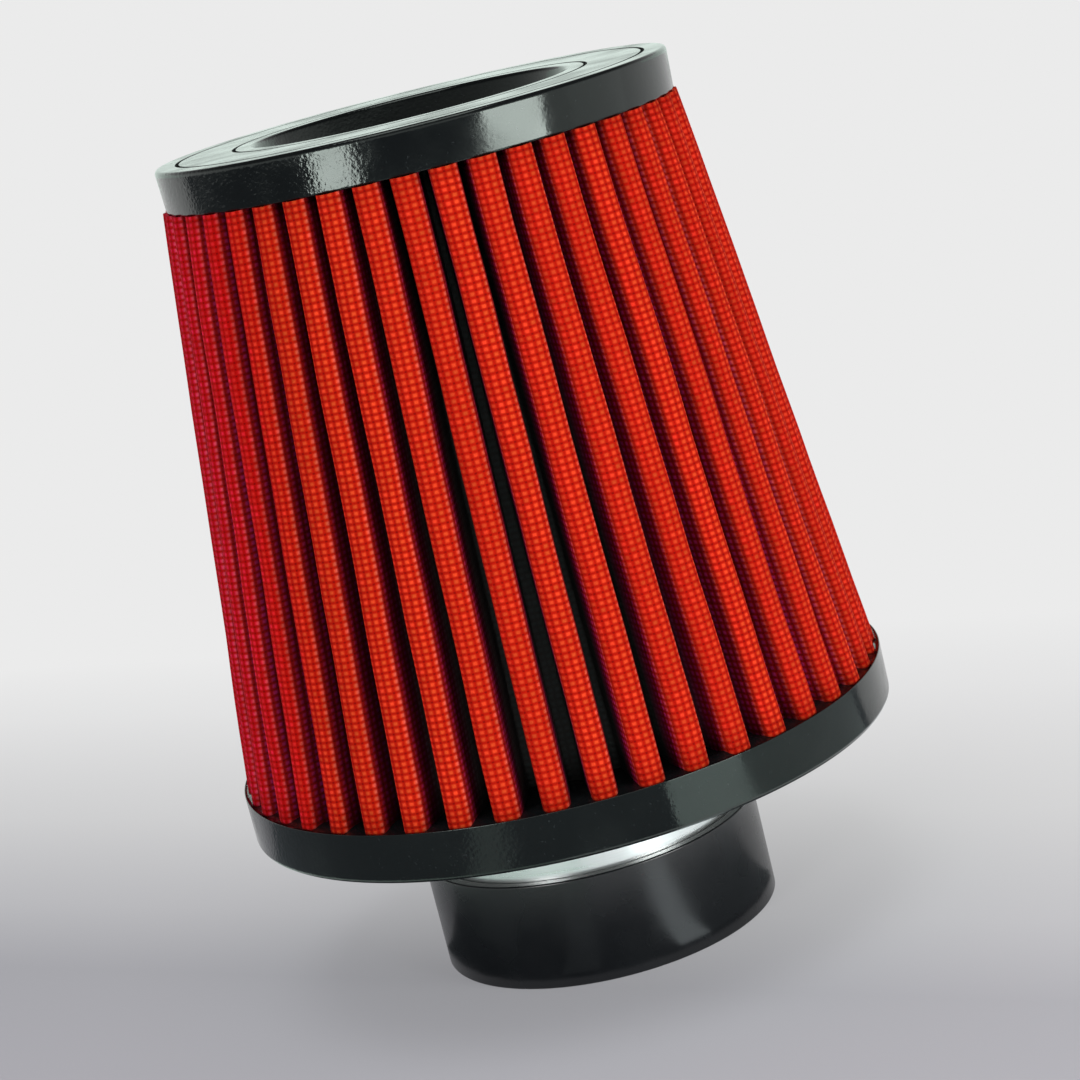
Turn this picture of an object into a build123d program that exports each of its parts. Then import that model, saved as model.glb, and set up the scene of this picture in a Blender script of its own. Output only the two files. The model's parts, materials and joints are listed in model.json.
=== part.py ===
from build123d import *
import math
import os

# Cone air filter, standing on its neck, in millimetres.
# The origin is the centre of the sleeve's lower face and +Z runs up the filter's axis.

# Intake pipe and rubber sleeve
pipe_diameter = 76.0
pipe_insertion = 16.0
sleeve_wall = 2.0
sleeve_length = 25.3
stop_shoulder = 0.5

# Aluminium neck tube
tube_wall = 1.5
tube_exposed = 17.0
flange_thickness = 1.5

# Moulded base cap
base_cap_diameter = 153.0
base_cap_height = 10.9
base_cap_floor = 4.2
base_cap_edge = 1.0

# Folded gauze sheet
pleat_count = 44
media_height = 135.3
media_thickness = 1.8
crest_diameter_bottom = 151.2
crest_diameter_top = 118.8
crest_width = 6.0
crest_rise = 2.6
crest_facets = 7
pleat_depth = 16.0
pleat_root_width = 5.3

# Folded sheet-metal cage
cage_wall = 1.0
cage_sides = 22
cage_rows = 2
cage_rib_width = 4.0
cage_band_height = 7.0

# Moulded top cap
top_cap_diameter = 118.0
top_cap_height = 9.8
top_cap_draft = 0.4
top_cap_edge = 1.2
top_cap_spigot = 3.0
outer_groove_diameter = 107.4
inner_groove_diameter = 81.2
groove_width = 0.9
groove_depth = 0.7
dish_diameter = 72.4
dish_depth = 8.2
dish_taper = 2.4

# Running gap between pieces that slide together
clearance = 0.1

# Levels along the axis
base_bottom = sleeve_length + tube_exposed
flange_bottom = base_bottom + base_cap_floor
flange_top = flange_bottom + flange_thickness
media_bottom = base_bottom + base_cap_height
media_top = media_bottom + media_height
overall_height = media_top + top_cap_height

# Radii that pieces share
pipe_radius = pipe_diameter / 2
tube_seat = pipe_radius - stop_shoulder
tube_radius = tube_seat - clearance
tube_bore = tube_radius - tube_wall
crest_bottom = crest_diameter_bottom / 2
crest_top = crest_diameter_top / 2
valley_bottom = crest_bottom - pleat_depth
fold_radius = valley_bottom - media_thickness

# Lean of the pleats, towards the axis
crest_slope = (crest_bottom - crest_top) / media_height
crest_line = Vector(crest_top - crest_bottom, 0, media_height)
first_crest = 180 / pleat_count - 90


def cage_radius(level):
    # Outside of the cage's corners, which follow the inner folds of the pleats
    return fold_radius - clearance - crest_slope * (level - media_bottom)


os.makedirs("parts", exist_ok=True)

# Rubber sleeve: the intake pipe enters from below, up to a shoulder, and the neck tube from above
with BuildPart() as neck_sleeve:
    sleeve_radius = pipe_radius + sleeve_wall
    with BuildSketch(Plane.XZ):
        with BuildLine():
            Polyline(
                (pipe_radius, 0),
                (sleeve_radius, 0),
                (sleeve_radius, sleeve_length),
                (tube_seat, sleeve_length),
                (tube_seat, pipe_insertion),
                (pipe_radius, pipe_insertion),
                close=True,
            )
        make_face()
    revolve(axis=Axis.Z)
neck_sleeve.part.label = "neck_sleeve"
export_step(neck_sleeve.part, "parts/neck_sleeve.step")

# Neck tube: a drawn tube with its upper end turned out into a flange under the cage's foot
with BuildPart() as neck_tube:
    flange_radius = cage_radius(flange_top)
    with BuildSketch(Plane.XZ):
        with BuildLine():
            Polyline(
                (tube_bore, pipe_insertion),
                (tube_radius, pipe_insertion),
                (tube_radius, flange_bottom),
                (flange_radius, flange_bottom),
                (flange_radius, flange_top),
                (tube_bore, flange_top),
                close=True,
            )
        make_face()
    revolve(axis=Axis.Z)
neck_tube.part.label = "neck_tube"
export_step(neck_tube.part, "parts/neck_tube.step")

# Base cap: a moulded ring, recessed inside for the neck flange and the cage's foot
with BuildPart() as base_cap:
    base_radius = base_cap_diameter / 2
    recess_radius = flange_radius + clearance
    with BuildSketch(Plane.XZ):
        with BuildLine():
            Polyline(
                (tube_seat, base_bottom),
                (base_radius, base_bottom),
                (base_radius, media_bottom),
                (recess_radius, media_bottom),
                (recess_radius, flange_bottom),
                (tube_seat, flange_bottom),
                close=True,
            )
        make_face()
    revolve(axis=Axis.Z)
    base_rims = base_cap.edges().filter_by(GeomType.CIRCLE).group_by(SortBy.RADIUS)[-1]
    chamfer(base_rims.sort_by(Axis.Z)[0], length=base_cap_edge)
base_cap.part.label = "base_cap"
export_step(base_cap.part, "parts/base_cap.step")

# One pleat, from its half-round crest to its root in the valley wall, drawn up along its crest line
with BuildPart() as pleat:
    with BuildSketch(Plane.XY.offset(media_bottom)):
        with BuildLine():
            crest = []
            for step in range(crest_facets + 1):
                bend = math.pi * (step / crest_facets - 0.5)
                drop = crest_rise * (1 - math.cos(bend))
                crest.append((crest_bottom - drop, crest_width / 2 * math.sin(bend)))
            root = valley_bottom - media_thickness / 2
            root_half = pleat_root_width / 2
            Polyline((root, -root_half), *crest, (root, root_half), close=True)
        make_face()
    extrude(amount=crest_line.length, dir=crest_line.normalized())

# The hollow inside that pleat, open towards the axis
with BuildPart() as pleat_hollow:
    with BuildSketch(Plane.XY.offset(media_bottom)):
        with BuildLine():
            tip = crest_bottom - crest_rise
            tip_half = crest_width / 2 - media_thickness
            mouth = fold_radius - media_thickness
            mouth_half = pleat_root_width / 2 - media_thickness
            Polyline((mouth, -mouth_half), (tip, -tip_half), (tip, tip_half), (mouth, mouth_half), close=True)
        make_face()
    extrude(amount=crest_line.length, dir=crest_line.normalized())

# Pleated media: one folded sheet, with a valley wall between pleats that stand all round and open inside
with BuildPart() as pleated_media:
    media_lean = math.degrees(math.atan(crest_slope))
    for apothem, mode in ((valley_bottom, Mode.ADD), (fold_radius, Mode.SUBTRACT)):
        with BuildSketch(Plane.XY.offset(media_bottom)):
            RegularPolygon(apothem, pleat_count, major_radius=False, rotation=first_crest)
        extrude(amount=media_height, taper=media_lean, mode=mode)
    with PolarLocations(0, pleat_count, start_angle=first_crest):
        add(pleat.part)
    with PolarLocations(0, pleat_count, start_angle=first_crest):
        add(pleat_hollow.part, mode=Mode.SUBTRACT)
pleated_media.part.label = "pleated_media"
export_step(pleated_media.part, "parts/pleated_media.step")

# Support cage: sheet metal folded into a many-sided cone with rows of windows, on the neck flange
with BuildPart() as support_cage:
    half_side = math.pi / cage_sides
    cage_height = media_top - flange_top
    cage_lean = math.degrees(math.atan(crest_slope * math.cos(half_side)))
    outer_apothem = cage_radius(flange_top) * math.cos(half_side)
    for apothem, mode in ((outer_apothem, Mode.ADD), (outer_apothem - cage_wall, Mode.SUBTRACT)):
        with BuildSketch(Plane.XY.offset(flange_top)):
            RegularPolygon(apothem, cage_sides, major_radius=False)
        extrude(amount=cage_height, taper=cage_lean, mode=mode)
    window_height = (media_height - cage_band_height * (cage_rows + 1)) / cage_rows
    for row in range(cage_rows):
        window_bottom = media_bottom + cage_band_height + row * (window_height + cage_band_height)
        window_middle = window_bottom + window_height / 2
        window_radius = cage_radius(window_middle)
        window_width = 2 * window_radius * math.sin(half_side) - cage_rib_width
        with Locations((0, 0, window_middle)):
            with PolarLocations(window_radius, cage_sides, start_angle=math.degrees(half_side)):
                Box(window_radius, window_width, window_height, mode=Mode.SUBTRACT)
support_cage.part.label = "support_cage"
export_step(support_cage.part, "parts/support_cage.step")

# Top cap: a closed moulding with a spigot inside the cage, two ring grooves and a dish in the middle
with BuildPart() as top_cap:
    top_radius = top_cap_diameter / 2
    dish_radius = dish_diameter / 2
    dish_floor = overall_height - dish_depth
    spigot_radius = cage_radius(media_top) * math.cos(half_side) - cage_wall - clearance
    with BuildSketch(Plane.XZ):
        with BuildLine():
            Polyline(
                (0, media_top - top_cap_spigot),
                (spigot_radius, media_top - top_cap_spigot),
                (spigot_radius, media_top),
                (top_radius - top_cap_draft, media_top),
                (top_radius, overall_height),
                (dish_radius, overall_height),
                (dish_radius - dish_taper, dish_floor),
                (0, dish_floor),
                close=True,
            )
        make_face()
    revolve(axis=Axis.Z)
    face_rims = top_cap.edges().filter_by(GeomType.CIRCLE).group_by(Axis.Z)[-1]
    chamfer(face_rims.sort_by(SortBy.RADIUS)[-1], length=top_cap_edge)
    for groove_diameter in (outer_groove_diameter, inner_groove_diameter):
        with BuildSketch(Plane.XZ):
            with Locations((groove_diameter / 2, overall_height)):
                Polygon((-groove_width / 2, 0), (0, -groove_depth), (groove_width / 2, 0), align=None)
        revolve(axis=Axis.Z, mode=Mode.SUBTRACT)
top_cap.part.label = "top_cap"
export_step(top_cap.part, "parts/top_cap.step")
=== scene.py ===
import json
import math

import bmesh
import bpy
from mathutils import Matrix, Vector, noise


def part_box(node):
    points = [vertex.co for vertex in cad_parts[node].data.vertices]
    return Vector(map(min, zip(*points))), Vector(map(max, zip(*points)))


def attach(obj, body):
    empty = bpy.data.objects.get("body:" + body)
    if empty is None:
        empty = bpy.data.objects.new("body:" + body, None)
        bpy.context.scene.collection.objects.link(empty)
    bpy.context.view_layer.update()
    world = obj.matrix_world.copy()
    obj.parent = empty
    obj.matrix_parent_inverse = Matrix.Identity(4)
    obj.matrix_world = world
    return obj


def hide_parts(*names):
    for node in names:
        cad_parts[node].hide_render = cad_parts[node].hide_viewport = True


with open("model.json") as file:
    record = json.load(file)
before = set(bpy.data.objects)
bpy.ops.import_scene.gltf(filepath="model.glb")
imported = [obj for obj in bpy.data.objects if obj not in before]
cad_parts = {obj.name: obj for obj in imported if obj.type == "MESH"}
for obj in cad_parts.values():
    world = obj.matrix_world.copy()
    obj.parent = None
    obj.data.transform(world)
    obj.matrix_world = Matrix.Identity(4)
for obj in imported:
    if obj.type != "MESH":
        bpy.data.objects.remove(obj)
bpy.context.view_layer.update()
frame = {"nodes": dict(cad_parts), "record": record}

mm = 0.001  # sizes are in mm unless a note says otherwise, and Blender works in metres
scene = bpy.context.scene
scene.view_settings.view_transform = "Standard"
print("frame loaded, nodes:", len(frame["nodes"]))


def hexColour(code):
    # sRGB hex to the linear RGBA that colour sockets take
    channels = [int(code[i:i + 2], 16) / 255 for i in (1, 3, 5)]
    return [c / 12.92 if c <= 0.04045 else ((c + 0.055) / 1.055) ** 2.4 for c in channels] + [1.0]


def addNode(tree, kind, inputs=None, stops=None, **settings):
    # one node with its settings; an input is a value, a socket, or a node that lends its first output,
    # and stops are a ramp's (place, colour) pairs
    # a Mix takes floats at sockets 2 and 3 and colours at 6 and 7, and gives a colour at output 2
    node = tree.nodes.new(kind)
    for name, value in settings.items():
        setattr(node, name, value)
    for socket, value in (inputs or {}).items():
        if isinstance(value, bpy.types.Node):
            value = value.outputs[0]
        if isinstance(value, bpy.types.NodeSocket):
            tree.links.new(value, node.inputs[socket])
        else:
            node.inputs[socket].default_value = value
    if stops:
        ramp = node.color_ramp.elements
        while len(ramp) < len(stops):
            ramp.new(1.0)
        for element, (place, colour) in zip(ramp, stops):
            element.position = place
            element.color = hexColour(colour)
    return node


def fromTo(taken, given=(0.0, 1.0)):
    # the four limits of a Map Range node
    return {"From Min": taken[0], "From Max": taken[1], "To Min": given[0], "To Max": given[1]}


def inMetres(sizes):
    return [size * mm for size in sizes]


def newMaterial(name):
    # an empty node material and its tree
    material = bpy.data.materials.new(name)
    material.use_nodes = True
    material.node_tree.nodes.clear()
    return material, material.node_tree


# Materials, each with its look

gauzeLook = dict(
    warpPitch=1.78, weftPitch=1.47,            # thread spacing, across a pleat and up it
    threadHeight=0.2, threadBump=0.5,          # relief, and how strongly it shades
    threadRise=0.4, threadDip=0.1,             # cell share where a thread rises, and its height in a dive
    topSpread=1.7,                             # more makes the bright thread tops smaller
    hole=0.2, holeOpen=0.4,                    # reach of a pinhole into its cell, and its open share
    paintedEdgeShade="#cc5c2a", paintedHoleShade="#a03c26",  # painted shade on the dye at thread edges and in the pinholes
    unevenness=0.2, hueSpread=0.003,           # how much threads differ in brightness and hue
    drift=0.35, driftSize=9.0,                 # how far the threads wander, over what distance
    fade=(0.86, 1.1), fadeRange=(0.3, 1.7),    # brightness of faded and fresh patches, by tone plus noise
    fadeSize=22.0,                             # size of those patches
    paintedShadeSideHue=0.479, sideReach=(-80.0, -57.0),   # painted shade: the less lit side of the cone leans crimson, where a hue of 0.5 is neutral
    coneLean=0.12,                             # how far that side leans in with height
    paintedShadeEdgeHue=-0.004, edgeReach=(-2.8, 0.6),     # and painted shade on one edge of each crest, which leans crimson
    foldReach=14.0,                            # the dye changes down a fold within this reach
    # dye of a pleat's two flanks by distance from the crest line, with painted sheen and painted shade in
    # it:
    # the pale pink stop at each crest edge is a painted sheen; the crimson, purple and dark stops down the
    # flanks are painted shade, darker on one flank as if less lit; the grey at the end is dust
    dyeAndPaintedShadeLeft=[(0.0, "#d8431d"), (3.1, "#d23f1b"), (3.9, "#d05844"), (4.5, "#bc3040"), (5.4, "#b62858"),
             (8.0, "#b0266c"), (12.8, "#525a56")],
    dyeAndPaintedShadeRight=[(0.0, "#d8431d"), (2.3, "#d23f1b"), (2.9, "#d05844"), (3.35, "#a42830"), (4.0, "#8c1c36"),
              (5.4, "#741444"), (8.0, "#541442"), (11.0, "#525a56")],
    dustReach=(0.55, 0.85), dustCover=0.8,     # share of the fold where dust hides the weave, and how much
    roughness=0.9, specular=0.08,
)


def gauzeWeave(tree, uv, place, look):
    # plain weave on the UV map: thread relief, cover over the pinholes, and each cell's column and row
    drift = addNode(tree, "ShaderNodeTexNoise", {
        "Vector": place, "Scale": 1 / (look["driftSize"] * mm), "Detail": 1.0})
    centred = addNode(tree, "ShaderNodeVectorMath", {
        0: drift.outputs["Color"], 1: (0.5, 0.5, 0.5)}, operation="SUBTRACT")
    pulled = addNode(tree, "ShaderNodeVectorMath", {
        0: centred, "Scale": look["drift"] * mm}, operation="SCALE")
    shifted = addNode(tree, "ShaderNodeVectorMath", {0: uv, 1: pulled}, operation="ADD")
    pitch = (1 / (look["warpPitch"] * mm), 1 / (look["weftPitch"] * mm), 0)
    threads = addNode(tree, "ShaderNodeVectorMath", {0: shifted, 1: pitch}, operation="MULTIPLY")
    count = addNode(tree, "ShaderNodeSeparateXYZ", {0: threads}).outputs
    # distance from the cell's borders: 0 there and 0.5 in its middle
    across = addNode(tree, "ShaderNodeMath", {0: count[0], 1: 0.5}, operation="PINGPONG")
    along = addNode(tree, "ShaderNodeMath", {0: count[1], 1: 0.5}, operation="PINGPONG")
    column = addNode(tree, "ShaderNodeMath", {0: count[0]}, operation="FLOOR")
    row = addNode(tree, "ShaderNodeMath", {0: count[1]}, operation="FLOOR")
    cell = addNode(tree, "ShaderNodeMath", {0: column, 1: row}, operation="ADD")
    warpOver = addNode(tree, "ShaderNodeMath", {0: cell, 1: 1.0}, operation="PINGPONG")  # every other cell
    section = addNode(tree, "ShaderNodeMix", {0: warpOver, 2: along, 3: across})
    run = addNode(tree, "ShaderNodeMix", {0: warpOver, 2: across, 3: along})
    rise = (0.0, look["threadRise"])
    threadTop = addNode(tree, "ShaderNodeMapRange", {
        0: section, **fromTo(rise)}, interpolation_type="SMOOTHSTEP")
    dive = addNode(tree, "ShaderNodeMapRange", {
        0: run, **fromTo(rise, (look["threadDip"], 1.0))}, interpolation_type="SMOOTHSTEP")
    relief = addNode(tree, "ShaderNodeMath", {0: threadTop, 1: dive}, operation="MULTIPLY")
    corner = addNode(tree, "ShaderNodeMath", {0: across, 1: along}, operation="MAXIMUM")
    hole = (look["hole"] * look["holeOpen"], look["hole"])
    cover = addNode(tree, "ShaderNodeMapRange", {
        0: corner, **fromTo(hole)}, interpolation_type="SMOOTHSTEP")
    return relief, cover, column, row


def gauzeDyeAndShade(tree, uv, place, look):
    # the dye's colour, with its painted shade and sheen, by distance from the crest line, which the UV map
    # gives in metres, and that distance as a share of the fold's reach
    fold = addNode(tree, "ShaderNodeSeparateXYZ", {0: uv}).outputs[0]
    foldDistance = addNode(tree, "ShaderNodeMath", {0: fold}, operation="ABSOLUTE")
    foldShare = addNode(tree, "ShaderNodeMapRange", {
        0: foldDistance, **fromTo((0.0, look["foldReach"] * mm))})
    flanks = []
    for flank in ("dyeAndPaintedShadeLeft", "dyeAndPaintedShadeRight"):
        stops = [(reach / look["foldReach"], colour) for reach, colour in look[flank]]
        flanks.append(addNode(tree, "ShaderNodeValToRGB", {0: foldShare}, stops=stops))
    onRight = addNode(tree, "ShaderNodeMath", {0: fold, 1: 0.0}, operation="GREATER_THAN")
    dyeAndShade = addNode(tree, "ShaderNodeMix", {0: onRight, 6: flanks[0], 7: flanks[1]}, data_type="RGBA")
    # painted shade as hue: the less lit side of the cone and one edge of each crest lean to crimson
    side = addNode(tree, "ShaderNodeSeparateXYZ", {0: place}).outputs
    coneSide = addNode(tree, "ShaderNodeMath", {
        0: side[2], 1: -look["coneLean"], 2: side[0]}, operation="MULTIPLY_ADD")
    paintedShadeSideLean = addNode(tree, "ShaderNodeMapRange", {
        0: coneSide, **fromTo(inMetres(look["sideReach"]), (look["paintedShadeSideHue"], 0.5))})
    paintedShadeEdgeLean = addNode(tree, "ShaderNodeMapRange", {
        0: fold, **fromTo(inMetres(look["edgeReach"]), (look["paintedShadeEdgeHue"], 0.0))})
    paintedShadeLean = addNode(tree, "ShaderNodeMath", {0: paintedShadeSideLean, 1: paintedShadeEdgeLean}, operation="ADD")
    dyedAndShaded = addNode(tree, "ShaderNodeHueSaturation", {"Hue": paintedShadeLean, "Color": dyeAndShade.outputs[2]})
    return dyedAndShaded, foldShare


def makeGauzeMaterial(name, look):
    # Dyed cotton gauze: an open plain weave, so bright thread tops sit in a grid of holes darkened by
    # painted shade.
    # Dye leaves the crests orange and dust the valleys grey; painted shade turns the flanks crimson and
    # dark, and a painted sheen pales the crest edges.
    material, tree = newMaterial(name)
    uv = addNode(tree, "ShaderNodeUVMap", uv_map="UVMap")
    place = addNode(tree, "ShaderNodeTexCoord").outputs["Object"]
    relief, cover, column, row = gauzeWeave(tree, uv, place, look)
    dyedAndShaded, foldShare = gauzeDyeAndShade(tree, uv, place, look)
    # each pleat has faded in its own way, and no two threads are alike
    tone = addNode(tree, "ShaderNodeAttribute", attribute_name="pleatTone").outputs["Fac"]
    patches = addNode(tree, "ShaderNodeTexNoise", {
        "Vector": place, "Scale": 1 / (look["fadeSize"] * mm), "Detail": 3.0})
    faded = addNode(tree, "ShaderNodeMath", {0: tone, 1: patches}, operation="ADD")
    fadeLevel = addNode(tree, "ShaderNodeMapRange", {0: faded, **fromTo(look["fadeRange"], look["fade"])})
    cell = addNode(tree, "ShaderNodeCombineXYZ", {0: column, 1: row, 2: tone})
    chance = addNode(tree, "ShaderNodeTexWhiteNoise", {"Vector": cell}, noise_dimensions="3D")
    brightness = (1 - look["unevenness"], 1 + look["unevenness"])
    cellLevel = addNode(tree, "ShaderNodeMapRange", {0: chance, **fromTo((0.0, 1.0), brightness)})
    threadLevel = addNode(tree, "ShaderNodeMath", {0: fadeLevel, 1: cellLevel}, operation="MULTIPLY")
    hues = (0.5 + look["hueSpread"], 0.5 - look["hueSpread"])
    cellHue = addNode(tree, "ShaderNodeMapRange", {0: chance, **fromTo((0.0, 1.0), hues)})
    thread = addNode(tree, "ShaderNodeHueSaturation", {"Hue": cellHue, "Value": threadLevel, "Color": dyedAndShaded})
    # painted shade: bright tops, darker thread edges and darkest pinholes, then dust over all of them deep
    # in the folds
    edge = addNode(tree, "ShaderNodeMix", {
        0: 1.0, 6: dyedAndShaded, 7: hexColour(look["paintedEdgeShade"])}, data_type="RGBA", blend_type="MULTIPLY")
    hole = addNode(tree, "ShaderNodeMix", {
        0: 1.0, 6: dyedAndShaded, 7: hexColour(look["paintedHoleShade"])}, data_type="RGBA", blend_type="MULTIPLY")
    topShare = addNode(tree, "ShaderNodeMath", {0: relief, 1: look["topSpread"]}, operation="POWER")
    woven = addNode(tree, "ShaderNodeMix", {0: topShare, 6: edge.outputs[2], 7: thread}, data_type="RGBA")
    openWeave = addNode(tree, "ShaderNodeMix", {
        0: cover, 6: hole.outputs[2], 7: woven.outputs[2]}, data_type="RGBA")
    dust = addNode(tree, "ShaderNodeMapRange", {
        0: foldShare, **fromTo(look["dustReach"], (0.0, look["dustCover"]))})
    colour = addNode(tree, "ShaderNodeMix", {0: dust, 6: openWeave.outputs[2], 7: dyedAndShaded}, data_type="RGBA")
    bump = addNode(tree, "ShaderNodeBump", {
        "Height": relief, "Distance": look["threadHeight"] * mm, "Strength": look["threadBump"]})
    surface = addNode(tree, "ShaderNodeBsdfPrincipled", {
        "Base Color": colour.outputs[2], "Roughness": look["roughness"],
        "Specular IOR Level": look["specular"], "Normal": bump})
    addNode(tree, "ShaderNodeOutputMaterial", {0: surface})
    return material


gauze = makeGauzeMaterial("wovenRedGauze", gauzeLook)

polyurethaneLook = dict(
    colour="#0d0f10", tint="#e6f4ec", ior=1.5,
    roughness=(0.07, 0.22), patchSize=14.0, patchRange=(0.35, 0.65),  # glossy and dull patches
    peelSize=0.9, peelDepth=0.1,                     # coarser than the real skin, or it would not show
    peelStrength=(0.2, 0.7), peelRange=(0.4, 0.65),  # the peel comes in patches too
    sidePeel=0.2, sideReach=(-20.0, 10.0),           # and is stronger on one side
    dust="#3a4040", dustSize=0.7, dustRange=(0.7, 0.78), dustCover=0.35,
)


def makePolyurethaneMaterial(name, look):
    # Cast polyurethane straight from the mould: near black and glossy, with an orange-peel skin
    # that breaks highlights into grain, in patches where the mould was dull.
    material, tree = newMaterial(name)
    place = addNode(tree, "ShaderNodeTexCoord").outputs["Object"]
    peel = addNode(tree, "ShaderNodeTexNoise", {
        "Vector": place, "Scale": 1 / (look["peelSize"] * mm), "Detail": 2.0})
    patch = addNode(tree, "ShaderNodeTexNoise", {
        "Vector": place, "Scale": 1 / (look["patchSize"] * mm), "Detail": 2.0})
    dull = addNode(tree, "ShaderNodeMapRange", {0: patch, **fromTo(look["patchRange"], look["roughness"])})
    mattDust = addNode(tree, "ShaderNodeAttribute", attribute_name="mattDust").outputs["Fac"]
    rough = addNode(tree, "ShaderNodeMath", {0: dull, 1: mattDust}, operation="MAXIMUM")
    side = addNode(tree, "ShaderNodeSeparateXYZ", {0: place}).outputs[0]
    sidePeel = addNode(tree, "ShaderNodeMapRange", {
        0: side, **fromTo(inMetres(look["sideReach"]), (look["sidePeel"], -look["sidePeel"]))})
    patchy = addNode(tree, "ShaderNodeMath", {0: patch, 1: sidePeel}, operation="ADD")
    strength = addNode(tree, "ShaderNodeMapRange", {
        0: patchy, **fromTo(look["peelRange"], look["peelStrength"])})
    bump = addNode(tree, "ShaderNodeBump", {
        "Height": peel, "Distance": look["peelDepth"] * mm, "Strength": strength})
    dustGrain = addNode(tree, "ShaderNodeTexNoise", {
        "Vector": place, "Scale": 1 / (look["dustSize"] * mm), "Detail": 1.0})
    dust = addNode(tree, "ShaderNodeMapRange", {
        0: dustGrain, **fromTo(look["dustRange"], (0.0, look["dustCover"]))})
    colour = addNode(tree, "ShaderNodeMix", {
        0: dust, 6: hexColour(look["colour"]), 7: hexColour(look["dust"])}, data_type="RGBA")
    surface = addNode(tree, "ShaderNodeBsdfPrincipled", {
        "Base Color": colour.outputs[2], "Roughness": rough, "IOR": look["ior"],
        "Specular Tint": hexColour(look["tint"]), "Normal": bump})
    addNode(tree, "ShaderNodeOutputMaterial", {0: surface})
    return material


polyurethane = makePolyurethaneMaterial("castBlackPolyurethane", polyurethaneLook)

rubberLook = dict(
    colour="#090b0d", ior=1.52,
    bloom="#101316", bloomSize=18.0, bloomRange=(0.3, 0.7), roughness=(0.2, 0.32),  # greyer, duller patches
    grainSize=0.5, grainDepth=0.04, grainStrength=0.35,  # coarser than the real grain, or it would not show
)


def makeRubberMaterial(name, look):
    # Moulded EPDM rubber: a satin black skin with a fine grain, duller than the caps
    material, tree = newMaterial(name)
    place = addNode(tree, "ShaderNodeTexCoord").outputs["Object"]
    grain = addNode(tree, "ShaderNodeTexNoise", {
        "Vector": place, "Scale": 1 / (look["grainSize"] * mm), "Detail": 3.0})
    bloom = addNode(tree, "ShaderNodeTexNoise", {
        "Vector": place, "Scale": 1 / (look["bloomSize"] * mm), "Detail": 3.0})
    colour = addNode(tree, "ShaderNodeMix", {
        0: bloom, 6: hexColour(look["colour"]), 7: hexColour(look["bloom"])}, data_type="RGBA")
    rough = addNode(tree, "ShaderNodeMapRange", {0: bloom, **fromTo(look["bloomRange"], look["roughness"])})
    bump = addNode(tree, "ShaderNodeBump", {
        "Height": grain, "Distance": look["grainDepth"] * mm, "Strength": look["grainStrength"]})
    surface = addNode(tree, "ShaderNodeBsdfPrincipled", {
        "Base Color": colour.outputs[2], "Roughness": rough, "IOR": look["ior"], "Normal": bump})
    addNode(tree, "ShaderNodeOutputMaterial", {0: surface})
    return material


rubber = makeRubberMaterial("mouldedBlackRubber", rubberLook)

aluminiumLook = dict(
    colour="#d2dcd7", bright="#eceff0", roughness=(0.26, 0.34), markRange=(0.3, 0.7),
    markSpacing=0.6, markLength=60.0,  # coarser than real, or they would not show; length in spacings
    markDepth=0.004, markStrength=0.15,
)


def makeAluminiumMaterial(name, look):
    # Drawn aluminium tube: bright and a little greenish, with fine marks running round it
    material, tree = newMaterial(name)
    place = addNode(tree, "ShaderNodeTexCoord").outputs["Object"]
    rings = 1 / (look["markSpacing"] * mm)
    around = rings / look["markLength"]
    stretched = addNode(tree, "ShaderNodeMapping", {0: place, "Scale": (around, around, rings)})
    marks = addNode(tree, "ShaderNodeTexNoise", {"Vector": stretched, "Scale": 1.0, "Detail": 2.0})
    rough = addNode(tree, "ShaderNodeMapRange", {0: marks, **fromTo(look["markRange"], look["roughness"])})
    colour = addNode(tree, "ShaderNodeMix", {
        0: marks, 6: hexColour(look["colour"]), 7: hexColour(look["bright"])}, data_type="RGBA")
    bump = addNode(tree, "ShaderNodeBump", {
        "Height": marks, "Distance": look["markDepth"] * mm, "Strength": look["markStrength"]})
    surface = addNode(tree, "ShaderNodeBsdfPrincipled", {
        "Base Color": colour.outputs[2], "Metallic": 1.0, "Roughness": rough, "Normal": bump})
    addNode(tree, "ShaderNodeOutputMaterial", {0: surface})
    return material


aluminium = makeAluminiumMaterial("drawnAluminium", aluminiumLook)

galvanisedLook = dict(colour="#8c9194", bright="#b4b9ba", spangleSize=7.0, roughness=(0.35, 0.55))


def makeGalvanisedMaterial(name, look):
    # Galvanised steel sheet: dull zinc grey in angular spangles
    material, tree = newMaterial(name)
    place = addNode(tree, "ShaderNodeTexCoord").outputs["Object"]
    spangle = addNode(tree, "ShaderNodeTexVoronoi", {
        "Vector": place, "Scale": 1 / (look["spangleSize"] * mm)})
    shade = addNode(tree, "ShaderNodeSeparateColor", {0: spangle.outputs["Color"]}).outputs
    colour = addNode(tree, "ShaderNodeMix", {
        0: shade[0], 6: hexColour(look["colour"]), 7: hexColour(look["bright"])}, data_type="RGBA")
    rough = addNode(tree, "ShaderNodeMapRange", {0: shade[1], **fromTo((0.0, 1.0), look["roughness"])})
    surface = addNode(tree, "ShaderNodeBsdfPrincipled", {
        "Base Color": colour.outputs[2], "Metallic": 1.0, "Roughness": rough})
    addNode(tree, "ShaderNodeOutputMaterial", {0: surface})
    return material


galvanised = makeGalvanisedMaterial("galvanisedSheet", galvanisedLook)
print("materials made:", len(bpy.data.materials))


# Turned pieces

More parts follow.
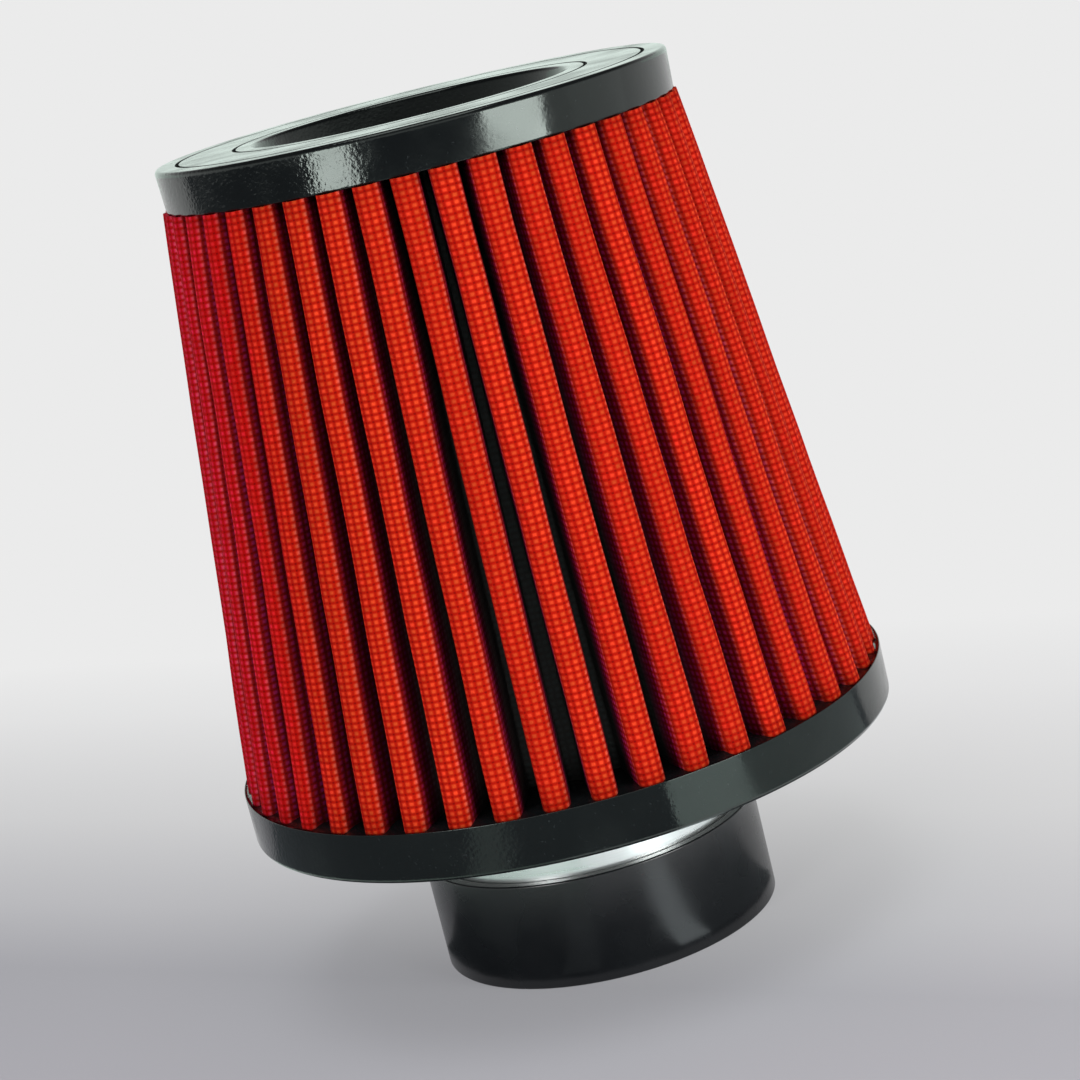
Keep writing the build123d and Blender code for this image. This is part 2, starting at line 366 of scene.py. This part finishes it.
def roundedOutline(corners, arcSteps=6, guard=0.3):
    # (radius, height, rounding) corners in mm to a closed outline; a guard point beside each arc,
    # at this share of its rounding, keeps smooth shading inside the arc
    outline = []
    for i, (radius, height, rounding) in enumerate(corners):
        corner = Vector((radius, height))
        if not rounding:
            outline.append(corner)
            continue
        back = (Vector(corners[i - 1][:2]) - corner).normalized()
        ahead = (Vector(corners[(i + 1) % len(corners)][:2]) - corner).normalized()
        halfAngle = back.angle(ahead) / 2
        reach = rounding / math.tan(halfAngle)
        centre = corner + (back + ahead).normalized() * (rounding / math.sin(halfAngle))
        first = (corner + back * reach - centre).normalized()
        last = (corner + ahead * reach - centre).normalized()
        outline.append(corner + back * (reach + rounding * guard))
        outline += [centre + first.slerp(last, step / arcSteps) * rounding for step in range(arcSteps + 1)]
        outline.append(corner + ahead * (reach + rounding * guard))
    return outline


def turnOutline(name, outline, steps):
    # spins a closed outline round the filter's axis; points on the axis become poles
    axisReach = 1e-6
    bm = bmesh.new()
    rings = []
    for radius, height in outline:
        ring = []
        for step in range(steps if radius > axisReach else 1):
            turn = 2 * math.pi * step / steps
            place = (radius * mm * math.cos(turn), radius * mm * math.sin(turn), height * mm)
            ring.append(bm.verts.new(place))
        rings.append(ring)
    for low, high in zip(rings, rings[1:] + rings[:1]):
        if len(low) == len(high) == 1:
            continue
        for step in range(steps):
            after = step + 1
            corners = [low[step % len(low)], high[step % len(high)]]
            corners += [high[after % len(high)], low[after % len(low)]]
            bm.faces.new(list(dict.fromkeys(corners)))  # at a pole, two corners are one
    bmesh.ops.recalc_face_normals(bm, faces=bm.faces)
    mesh = bpy.data.meshes.new(name)
    bm.to_mesh(mesh)
    bm.free()
    mesh.shade_smooth()
    piece = bpy.data.objects.new(name, mesh)
    scene.collection.objects.link(piece)
    return piece


def standFor(piece, node, material):
    # dresses a piece and lets it stand for its CAD node
    piece.data.materials.clear()
    piece.data.materials.append(material)
    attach(piece, "root")
    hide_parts(node)


def levels(node):
    # a node's lowest and highest level and its outside radius, in mm
    low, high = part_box(node)
    return low[2] / mm, high[2] / mm, high[0] / mm


sleeveBottom, sleeveTop, sleeveRadius = levels("neck_sleeve")
tubeBottom, flangeTop, flangeRadius = levels("neck_tube")
baseBottom, baseTop, baseRadius = levels("base_cap")
mediaBottom, mediaTop = levels("pleated_media")[:2]
spigotBottom, capTop = levels("top_cap")[:2]
pipeRadius = frame["record"]["mounts"][0]["dims"]["r_mm"]

sleeve = dict(edge=0.4, shoulder=0.5, steps=192)
tubeSeat = pipeRadius - sleeve["shoulder"]
neckSleeve = turnOutline("rubberSleeve", roundedOutline([
    (pipeRadius, sleeveBottom, sleeve["edge"]),
    (sleeveRadius, sleeveBottom, sleeve["edge"]),
    (sleeveRadius, sleeveTop, sleeve["edge"]),
    (tubeSeat, sleeveTop, sleeve["edge"]),
    (tubeSeat, tubeBottom, 0),
    (pipeRadius, tubeBottom, 0),
]), sleeve["steps"])
standFor(neckSleeve, "neck_sleeve", rubber)

tube = dict(clearance=0.1, wall=1.5, flange=1.5, edge=0.4, bend=1.2, steps=192)
tubeRadius = tubeSeat - tube["clearance"]
tubeBore = tubeRadius - tube["wall"]
neckTube = turnOutline("neckTube", roundedOutline([
    (tubeBore, tubeBottom, tube["edge"]),
    (tubeRadius, tubeBottom, tube["edge"]),
    (tubeRadius, flangeTop - tube["flange"], tube["bend"]),
    (flangeRadius, flangeTop - tube["flange"], tube["edge"]),
    (flangeRadius, flangeTop, tube["edge"]),
    (tubeBore, flangeTop, tube["bend"]),
]), tube["steps"])
standFor(neckTube, "neck_tube", aluminium)

topCap = dict(
    radius=59.0, draft=0.4, topEdge=1.0, lowerEdge=0.5, spigot=39.9, spigotEdge=0.4, spigotFoot=0.3,
    grooves=(53.7, 40.6), grooveWidth=0.9, grooveDepth=0.7, grooveEdge=0.25, grooveFloor=0.12,
    dish=36.2, dishDepth=8.2, dishTaper=2.4, dishLip=1.0, dishFillet=1.4,
    dustDepth=1.05, steps=256,
)
dishFloor = capTop - topCap["dishDepth"]
capOutline = [
    (0, spigotBottom, 0),
    (topCap["spigot"], spigotBottom, topCap["spigotEdge"]),
    (topCap["spigot"], mediaTop, topCap["spigotFoot"]),
    (topCap["radius"] - topCap["draft"], mediaTop, topCap["lowerEdge"]),
    (topCap["radius"], capTop, topCap["topEdge"]),
]
grooveHalf = topCap["grooveWidth"] / 2
for groove in topCap["grooves"]:
    capOutline += [
        (groove + grooveHalf, capTop, topCap["grooveEdge"]),
        (groove, capTop - topCap["grooveDepth"], topCap["grooveFloor"]),
        (groove - grooveHalf, capTop, topCap["grooveEdge"]),
    ]
capOutline += [
    (topCap["dish"], capTop, topCap["dishLip"]),
    (topCap["dish"] - topCap["dishTaper"], dishFloor, topCap["dishFillet"]),
    (0, dishFloor, 0),
]
closedCap = turnOutline("topCap", roundedOutline(capOutline), topCap["steps"])
# dust in the grooves leaves them matt
mattDust = closedCap.data.attributes.new("mattDust", "FLOAT", "POINT")
for vertex, dust in zip(closedCap.data.vertices, mattDust.data):
    radius = vertex.co.to_2d().length / mm
    inGroove = min(abs(radius - groove) for groove in topCap["grooves"]) < grooveHalf
    onFace = vertex.co.z / mm > capTop - topCap["dustDepth"]
    dust.value = 1.0 if inGroove and onFace else 0.0
standFor(closedCap, "top_cap", polyurethane)

baseCap = dict(
    floor=4.2, boreEdge=0.5, lowerEdge=1.0, steps=352,
    lip=0.7, lipWidth=0.75, lipEdge=0.12,  # a bead that hides the cut ends of the pleats
    pottingGap=1.4, pottingRings=12,       # rings of vertices inside the rim, for the potting to lift
    rise=1.0, swell=1.1, lumpSize=6.0,     # polyurethane that crept up between the pleats
    rimGap=1.0, rimReach=2.6,              # where it starts inside the rim, and how soon it is full
    slack=0.05,                            # below the top, so that rounding errors leave no vertex out
)
recess = flangeRadius + tube["clearance"]
pottingRim = baseRadius - baseCap["pottingGap"]
pottingRings = baseCap["pottingRings"]
pottingRadii = [pottingRim + (recess - pottingRim) * step / pottingRings for step in range(pottingRings)]
baseRing = turnOutline("baseCap", roundedOutline([
    (tubeSeat, baseBottom, baseCap["boreEdge"]),
    (baseRadius, baseBottom, baseCap["lowerEdge"]),
    (baseRadius, baseTop + baseCap["lip"], baseCap["lipEdge"]),
    (baseRadius - baseCap["lipWidth"], baseTop, 0),
    *[(radius, baseTop, 0) for radius in pottingRadii],
    (recess, baseTop, 0),
    (recess, baseBottom + baseCap["floor"], 0),
    (tubeSeat, baseBottom + baseCap["floor"], 0),
]), baseCap["steps"])
liftedRadius = baseRadius - baseCap["rimGap"]
liftedLevel = baseTop - baseCap["slack"]
for vertex in baseRing.data.vertices:
    radius = vertex.co.to_2d().length / mm
    if vertex.co.z / mm > liftedLevel and radius < liftedRadius:
        lump = noise.noise(vertex.co / (baseCap["lumpSize"] * mm))
        share = min(1, (liftedRadius - radius) / baseCap["rimReach"])
        vertex.co.z += max(0, baseCap["rise"] + baseCap["swell"] * lump) * share * mm
standFor(baseRing, "base_cap", polyurethane)
print("turned pieces made: sleeve, tube, two caps")


# Folded gauze: one pleat in mesh code, repeated round the axis by a node tree

pleatSheet = dict(
    pleats=44, crestBottom=75.6, crestTop=59.4, depth=16.0, thickness=1.8,
    crestWidth=6.0, crestRise=2.6, crestFlat=0.8, rootWidth=5.3,  # a flatness of 1 makes an elliptic crest
    crestSteps=14, flankSteps=8, valleySteps=2, rows=18,
    wander=0.3, wanderSize=16.0, seed=7,                          # how far pleats stray, over what distance
)
crestSlant = math.hypot(pleatSheet["crestBottom"] - pleatSheet["crestTop"], mediaTop - mediaBottom)


def pleatProfile(crest, sheet):
    # half of one pleat at a level: crest line, shoulder, flank and half a valley, as (out, side) in mm
    halfPitch = math.pi / sheet["pleats"]
    valleyWay = Vector((math.cos(halfPitch), math.sin(halfPitch)))
    valley = crest - sheet["depth"]
    shoulder = Vector((crest - sheet["crestRise"], sheet["crestWidth"] / 2))
    root = Vector((valley - sheet["thickness"] / 2, sheet["rootWidth"] / 2))
    share = (valley - shoulder.dot(valleyWay)) / (root - shoulder).dot(valleyWay)
    foot = shoulder.lerp(root, share)  # where the flank meets the valley wall
    points = []
    halfSteps = sheet["crestSteps"] // 2
    for step in range(halfSteps):
        bend = math.pi / 2 * step / halfSteps
        drop = sheet["crestRise"] * (1 - math.cos(bend) ** sheet["crestFlat"])
        side = sheet["crestWidth"] / 2 * math.sin(bend) ** sheet["crestFlat"]
        points.append(Vector((crest - drop, side)))
    points += [shoulder.lerp(foot, step / sheet["flankSteps"]) for step in range(sheet["flankSteps"])]
    middle = valleyWay * valley
    points += [foot.lerp(middle, step / sheet["valleySteps"]) for step in range(sheet["valleySteps"] + 1)]
    return points


def pleatMesh(name, sheet):
    # one whole pleat with its UV map in metres: distance from the crest line, and height up the crest
    bm = bmesh.new()
    uvLayer = bm.loops.layers.uv.new("UVMap")
    grid = []
    for row in range(sheet["rows"] + 1):
        share = row / sheet["rows"]
        height = mediaBottom + (mediaTop - mediaBottom) * share
        crest = sheet["crestBottom"] + (sheet["crestTop"] - sheet["crestBottom"]) * share
        half = pleatProfile(crest, sheet)
        reach = [0.0]
        for start, end in zip(half, half[1:]):
            reach.append(reach[-1] + (end - start).length)
        line = [(point.x, -point.y, -u) for point, u in zip(half[:0:-1], reach[:0:-1])]
        line += [(point.x, point.y, u) for point, u in zip(half, reach)]
        vertices = [bm.verts.new((out * mm, side * mm, height * mm)) for out, side, u in line]
        uvs = [(u * mm, crestSlant * share * mm) for out, side, u in line]
        grid.append(list(zip(vertices, uvs)))
    for low, high in zip(grid, grid[1:]):
        for k in range(len(low) - 1):
            ring = [low[k], low[k + 1], high[k + 1], high[k]]
            face = bm.faces.new([vertex for vertex, uv in ring])
            for loop, (vertex, uv) in zip(face.loops, ring):
                loop[uvLayer].uv = uv
    mesh = bpy.data.meshes.new(name)
    bm.to_mesh(mesh)
    bm.free()
    return mesh


def pleatRingTree():
    # the pleat turned round the axis, joined at the valleys and pulled a little out of true
    joinReach = 0.02 * mm          # neighbours' edges in a valley are closer than this
    slowUp = (1.0, 1.0, 0.4)       # the pull changes more slowly up a pleat than round the cone
    keepLevel = (4.0, 4.0, 0.0)    # noise strays by about a quarter, and heights stay as they are
    tree = bpy.data.node_groups.new("pleatRing", "GeometryNodeTree")
    sockets = {"Pleat": "Geometry", "Pleats": "Int", "First Turn": "Float", "Wander": "Float",
               "Wander Size": "Float", "Seed": "Int", "Gauze": "Material"}
    for name, kind in sockets.items():
        tree.interface.new_socket(name, in_out="INPUT", socket_type="NodeSocket" + kind)
    tree.interface.new_socket("Sheet", in_out="OUTPUT", socket_type="NodeSocketGeometry")
    given = addNode(tree, "NodeGroupInput").outputs
    index = addNode(tree, "GeometryNodeInputIndex")
    points = addNode(tree, "GeometryNodePoints", {"Count": given["Pleats"]})
    step = addNode(tree, "ShaderNodeMath", {0: 2 * math.pi, 1: given["Pleats"]}, operation="DIVIDE")
    turn = addNode(tree, "ShaderNodeMath", {
        0: index, 1: step, 2: given["First Turn"]}, operation="MULTIPLY_ADD")
    turnAxis = addNode(tree, "ShaderNodeCombineXYZ", {2: turn})
    ring = addNode(tree, "GeometryNodeInstanceOnPoints", {
        "Points": points, "Instance": given["Pleat"], "Rotation": turnAxis})
    tone = addNode(tree, "FunctionNodeRandomValue", {"ID": index, "Seed": given["Seed"]}, data_type="FLOAT")
    toned = addNode(tree, "GeometryNodeStoreNamedAttribute", {
        "Geometry": ring, "Name": "pleatTone", "Value": tone.outputs[1],
    }, data_type="FLOAT", domain="INSTANCE")
    real = addNode(tree, "GeometryNodeRealizeInstances", {0: toned})
    joined = addNode(tree, "GeometryNodeMergeByDistance", {"Geometry": real, "Distance": joinReach})
    place = addNode(tree, "GeometryNodeInputPosition")
    stretched = addNode(tree, "ShaderNodeVectorMath", {0: place, 1: slowUp}, operation="MULTIPLY")
    scale = addNode(tree, "ShaderNodeMath", {0: 1.0, 1: given["Wander Size"]}, operation="DIVIDE")
    pull = addNode(tree, "ShaderNodeTexNoise", {
        "Vector": stretched, "W": given["Seed"], "Scale": scale, "Detail": 1.0}, noise_dimensions="4D")
    centred = addNode(tree, "ShaderNodeVectorMath", {
        0: pull.outputs["Color"], 1: (0.5, 0.5, 0.5)}, operation="SUBTRACT")
    level = addNode(tree, "ShaderNodeVectorMath", {0: centred, 1: keepLevel}, operation="MULTIPLY")
    offset = addNode(tree, "ShaderNodeVectorMath", {0: level, "Scale": given["Wander"]}, operation="SCALE")
    moved = addNode(tree, "GeometryNodeSetPosition", {"Geometry": joined, "Offset": offset})
    smooth = addNode(tree, "GeometryNodeSetShadeSmooth", {"Geometry": moved})
    dressed = addNode(tree, "GeometryNodeSetMaterial", {"Geometry": smooth, "Material": given["Gauze"]})
    addNode(tree, "NodeGroupOutput", {0: dressed})
    return tree


def plainMesh(piece):
    # replaces a piece's mesh and live modifiers by the evaluated result
    evaluated = piece.evaluated_get(bpy.context.evaluated_depsgraph_get())
    mesh = bpy.data.meshes.new_from_object(evaluated)
    piece.modifiers.clear()
    piece.data = mesh


gauzeSheet = bpy.data.objects.new("pleatedGauze", pleatMesh("pleatedGauze", pleatSheet))
scene.collection.objects.link(gauzeSheet)
ringTree = pleatRingTree()
ringInputs = {
    "Pleats": pleatSheet["pleats"],
    "First Turn": math.pi / pleatSheet["pleats"] - math.pi / 2,  # a gap between two pleats faces the front
    "Wander": pleatSheet["wander"] * mm,
    "Wander Size": pleatSheet["wanderSize"] * mm,
    "Seed": pleatSheet["seed"],
    "Gauze": gauze,
}
ringModifier = gauzeSheet.modifiers.new("pleatRing", "NODES")
ringModifier.node_group = ringTree
for item in ringTree.interface.items_tree:
    if item.name in ringInputs:
        ringModifier[item.identifier] = ringInputs[item.name]
wall = gauzeSheet.modifiers.new("sheetThickness", "SOLIDIFY")
wall.thickness = pleatSheet["thickness"] * mm
wall.offset = -1  # inwards
plainMesh(gauzeSheet)
standFor(gauzeSheet, "pleated_media", gauze)


def flatWidth(crest, sheet):
    # the sheet's width at one level, pulled flat, in metres
    half = pleatProfile(crest, sheet)
    return 2 * sheet["pleats"] * sum((end - start).length for start, end in zip(half, half[1:])) * mm


widths = [flatWidth(pleatSheet[end], pleatSheet) for end in ("crestBottom", "crestTop")]
print("gauze folded:", len(gauzeSheet.data.polygons), "faces")

cageNode = bpy.data.objects["support_cage"]
cageNode.data.materials.clear()
cageNode.data.materials.append(galvanised)
print("cage dressed")


# Stage, lamps and camera

def seenDirectly(tree):
    # 1 for what the camera sees straight, in gloss or through glass
    path = addNode(tree, "ShaderNodeLightPath").outputs
    seen = addNode(tree, "ShaderNodeMath", {
        0: path["Is Camera Ray"], 1: path["Is Glossy Ray"]}, operation="MAXIMUM")
    return addNode(tree, "ShaderNodeMath", {0: seen, 1: path["Is Transmission Ray"]}, operation="MAXIMUM")


def addCard(name, corners, material):
    # a flat piece of studio equipment, from its corners in metres
    mesh = bpy.data.meshes.new(name)
    mesh.from_pydata(corners, [], [list(range(len(corners)))])
    mesh.materials.append(material)
    card = bpy.data.objects.new(name, mesh)
    scene.collection.objects.link(card)
    return card


sweep = dict(
    halfSide=14.0,                      # metres, as are the two reaches
    toneReach=(-0.1, 0.25), turn=37.0,  # the tones run from front to back, turned by these degrees
    farReach=(0.3, 0.9),                # distances from the axis over which the grey ends all round
    tones=[(0.0, "#b6b5ba"), (0.18, "#b6b6ba"), (0.29, "#cacacc"), (0.47, "#dcdcdc"), (0.73, "#e8e8e8"),
           (0.9, "#ebebeb")],
    glowNear=0.45, glowRange=(0.2, 0.9),  # share of the backdrop's glow at the front, and where it grows
)


def makeSweepMaterial(name, look):
    # Matt paper sweep: grey in front of the object, running up into an even pale backdrop
    material, tree = newMaterial(name)
    place = addNode(tree, "ShaderNodeTexCoord").outputs["Object"]
    turn = math.radians(look["turn"])
    away = addNode(tree, "ShaderNodeVectorMath", {
        0: place, 1: (math.sin(turn), math.cos(turn), 0)}, operation="DOT_PRODUCT").outputs["Value"]
    behind = addNode(tree, "ShaderNodeMapRange", {0: away, **fromTo(look["toneReach"])})
    distance = addNode(tree, "ShaderNodeVectorMath", {0: place}, operation="LENGTH").outputs["Value"]
    far = addNode(tree, "ShaderNodeMapRange", {0: distance, **fromTo(look["farReach"])})
    share = addNode(tree, "ShaderNodeMath", {0: behind, 1: far}, operation="MAXIMUM")
    tone = addNode(tree, "ShaderNodeValToRGB", {0: share}, stops=look["tones"])
    paper = addNode(tree, "ShaderNodeBsdfDiffuse", {0: tone})
    glow = addNode(tree, "ShaderNodeEmission", {0: tone})
    glowShare = addNode(tree, "ShaderNodeMapRange", {
        0: share, **fromTo(look["glowRange"], (look["glowNear"], 1.0))})
    seen = addNode(tree, "ShaderNodeMath", {0: glowShare, 1: seenDirectly(tree)}, operation="MULTIPLY")
    mixed = addNode(tree, "ShaderNodeMixShader", {0: seen, 1: paper, 2: glow})
    below = addNode(tree, "ShaderNodeNewGeometry").outputs["Backfacing"]
    nothing = addNode(tree, "ShaderNodeBsdfTransparent")  # from below, the paper isn't there
    sided = addNode(tree, "ShaderNodeMixShader", {0: below, 1: mixed, 2: nothing})
    addNode(tree, "ShaderNodeOutputMaterial", {0: sided})
    return material


half = sweep["halfSide"]
floorCorners = [(-half, -half, 0), (half, -half, 0), (half, half, 0), (-half, half, 0)]
addCard("paperFloor", floorCorners, makeSweepMaterial("paperSweep", sweep))

# painted reflections: glowing ring sectors on the floor that only gloss sees, dim grey ones that paint a
# dark surround into the reflections, and bright ones that paint the streaks on the caps, the sleeve and the
# tube
# rings are in metres from the axis, sectors in degrees from the camera's side, levels in mm
paintedReflectionCards = {
    "sleeveDarkReflection": dict(ring=(0.043, 0.1), sector=(-96, 88), level=1, colour="#303438", glow=0.5),
    "baseDarkReflection": dict(ring=(0.15, 0.6), sector=(-115, 104), level=1, colour="#5a6064", glow=0.6),
    "topDarkReflection": dict(ring=(0.6, 3.0), sector=(-120, 52), level=1, colour="#4e5256", glow=0.6),
    "sleeveReflectionLeft": dict(ring=(0.043, 0.1), sector=(-22, -8), level=2, colour="#8c9294", glow=0.03),
    "sleeveReflectionRight": dict(ring=(0.043, 0.1), sector=(22, 35), level=2, colour="#e8f2f4", glow=1.5),
    "sleeveReflectionSide": dict(ring=(0.043, 0.1), sector=(35, 88), level=2, colour="#8c9294", glow=0.06),
    "tubeReflectionLeft": dict(ring=(0.1, 0.15), sector=(-120, -8), level=2, colour="#cfe0d7", glow=0.6),
    "tubeReflectionRight": dict(ring=(0.1, 0.15), sector=(-8, 130), level=2, colour="#f2f5f5", glow=0.95),
    "baseReflectionLeft": dict(ring=(0.15, 0.4), sector=(-33, -23), level=2, colour="#a8b2b0", glow=0.4),
    "baseReflectionRight": dict(ring=(0.15, 0.4), sector=(24, 48), level=2, colour="#e8f4f2", glow=1.2),
    "baseReflectionSide": dict(ring=(0.15, 0.4), sector=(48, 100), level=2, colour="#c0cac8", glow=0.1),
}
sectorSteps = 12


def addPaintedReflectionCard(name, corners, colour, glow):
    # a glowing card that only gloss sees, so it shows only as a painted reflection
    material, tree = newMaterial(name)
    glowingReflection = addNode(tree, "ShaderNodeBsdfPrincipled", {
        "Base Color": hexColour(colour), "Roughness": 1.0,
        "Emission Color": hexColour(colour), "Emission Strength": glow})
    addNode(tree, "ShaderNodeOutputMaterial", {0: glowingReflection})
    card = addCard(name, corners, material)
    card.visible_camera = card.visible_diffuse = card.visible_shadow = card.visible_transmission = False


for name, card in paintedReflectionCards.items():
    start, end = card["sector"]
    turns = [math.radians(start + (end - start) * step / sectorSteps) for step in range(sectorSteps + 1)]
    inner, outer = card["ring"]
    rim = [(inner, turn) for turn in turns] + [(outer, turn) for turn in reversed(turns)]
    level = card["level"] * mm
    corners = [(radius * math.sin(turn), -radius * math.cos(turn), level) for radius, turn in rim]
    addPaintedReflectionCard(name, corners, card["colour"], card["glow"])

# painted reflection: an upright glowing card behind the object that only gloss sees, which the top cap's
# face mirrors; metres
backPaintedReflection = dict(distance=2.5, halfWidth=4.0, height=1.0, colour="#e6f4ea", glow=0.8)
backEnds = [(-backPaintedReflection["halfWidth"], 0.0), (backPaintedReflection["halfWidth"], 0.0),
            (backPaintedReflection["halfWidth"], backPaintedReflection["height"]), (-backPaintedReflection["halfWidth"], backPaintedReflection["height"])]
backCorners = [(side, backPaintedReflection["distance"], height) for side, height in backEnds]
addPaintedReflectionCard("backPaintedReflection", backCorners, backPaintedReflection["colour"], backPaintedReflection["glow"])

# light from all round, and what is seen directly: a backdrop lit near the horizon below a dark ceiling
studio = dict(
    ambient="#f4f6ff", ambientGlow=0.4,
    backdrop="#ebebeb", backdropGlow=1.0,
    ceilingGlow=0.08, ceilingRange=(0.2, 0.55),  # the range is the sine of the angle above the horizon
)
world = bpy.data.worlds.new("studio")
scene.world = world
world.use_nodes = True
sky = world.node_tree
sky.nodes.clear()
ambient = addNode(sky, "ShaderNodeBackground", {0: hexColour(studio["ambient"]), 1: studio["ambientGlow"]})
direction = addNode(sky, "ShaderNodeTexCoord").outputs["Generated"]
upward = addNode(sky, "ShaderNodeSeparateXYZ", {0: direction}).outputs[2]
glows = (studio["backdropGlow"], studio["ceilingGlow"])
ceiling = addNode(sky, "ShaderNodeMapRange", {0: upward, **fromTo(studio["ceilingRange"], glows)})
backdrop = addNode(sky, "ShaderNodeBackground", {0: hexColour(studio["backdrop"]), 1: ceiling})
mixedSky = addNode(sky, "ShaderNodeMixShader", {0: seenDirectly(sky), 1: ambient, 2: backdrop})
addNode(sky, "ShaderNodeOutputWorld", {0: mixedSky})

# bearing is degrees from the camera's side, positive to the right
# sizes and distances are in metres, power in watts
lamps = {
    "leftPanel": dict(bearing=-36, distance=0.6, height=0.15, size=(0.18, 0.22), power=1.4, aim=0.15),
    "rightPanel": dict(bearing=41, distance=0.6, height=0.15, size=(0.28, 0.22), power=2.3, aim=0.15),
    "sideFill": dict(bearing=85, distance=0.8, height=0.3, size=(0.5, 0.5), power=0.1, aim=0.12),
    "topPanel": dict(bearing=0, distance=0.25, height=1.4, size=(0.8, 0.8), power=5.0, aim=0.1),
}
for name, lamp in lamps.items():
    light = bpy.data.lights.new(name, "AREA")
    light.shape = "RECTANGLE"
    light.size, light.size_y = lamp["size"]
    light.energy = lamp["power"]
    holder = bpy.data.objects.new(name, light)
    bearing = math.radians(lamp["bearing"])
    away = lamp["distance"]
    spot = Vector((math.sin(bearing) * away, -math.cos(bearing) * away, lamp["height"]))
    toObject = Vector((0, 0, lamp["aim"])) - spot
    holder.matrix_world = Matrix.Translation(spot) @ toObject.to_track_quat("-Z", "Y").to_matrix().to_4x4()
    holder.visible_camera = False
    scene.collection.objects.link(holder)

# the camera's place, lens and sensor are in mm, its angles in degrees
photoCamera = dict(place=(5.0, -646.8, 239.4), lookDown=12.66, roll=-13.95, lens=95.0, sensor=36.0)
camera = bpy.data.cameras.new("photoCamera")
camera.lens = photoCamera["lens"]
camera.sensor_width = photoCamera["sensor"]
cameraHolder = bpy.data.objects.new("photoCamera", camera)
cameraHolder.matrix_world = (
    Matrix.Translation(Vector(photoCamera["place"]) * mm)
    @ Matrix.Rotation(math.radians(90 - photoCamera["lookDown"]), 4, "X")
    @ Matrix.Rotation(math.radians(photoCamera["roll"]), 4, "Z")
)
scene.collection.objects.link(cameraHolder)
scene.camera = cameraHolder
print("stage, lamps and camera placed")
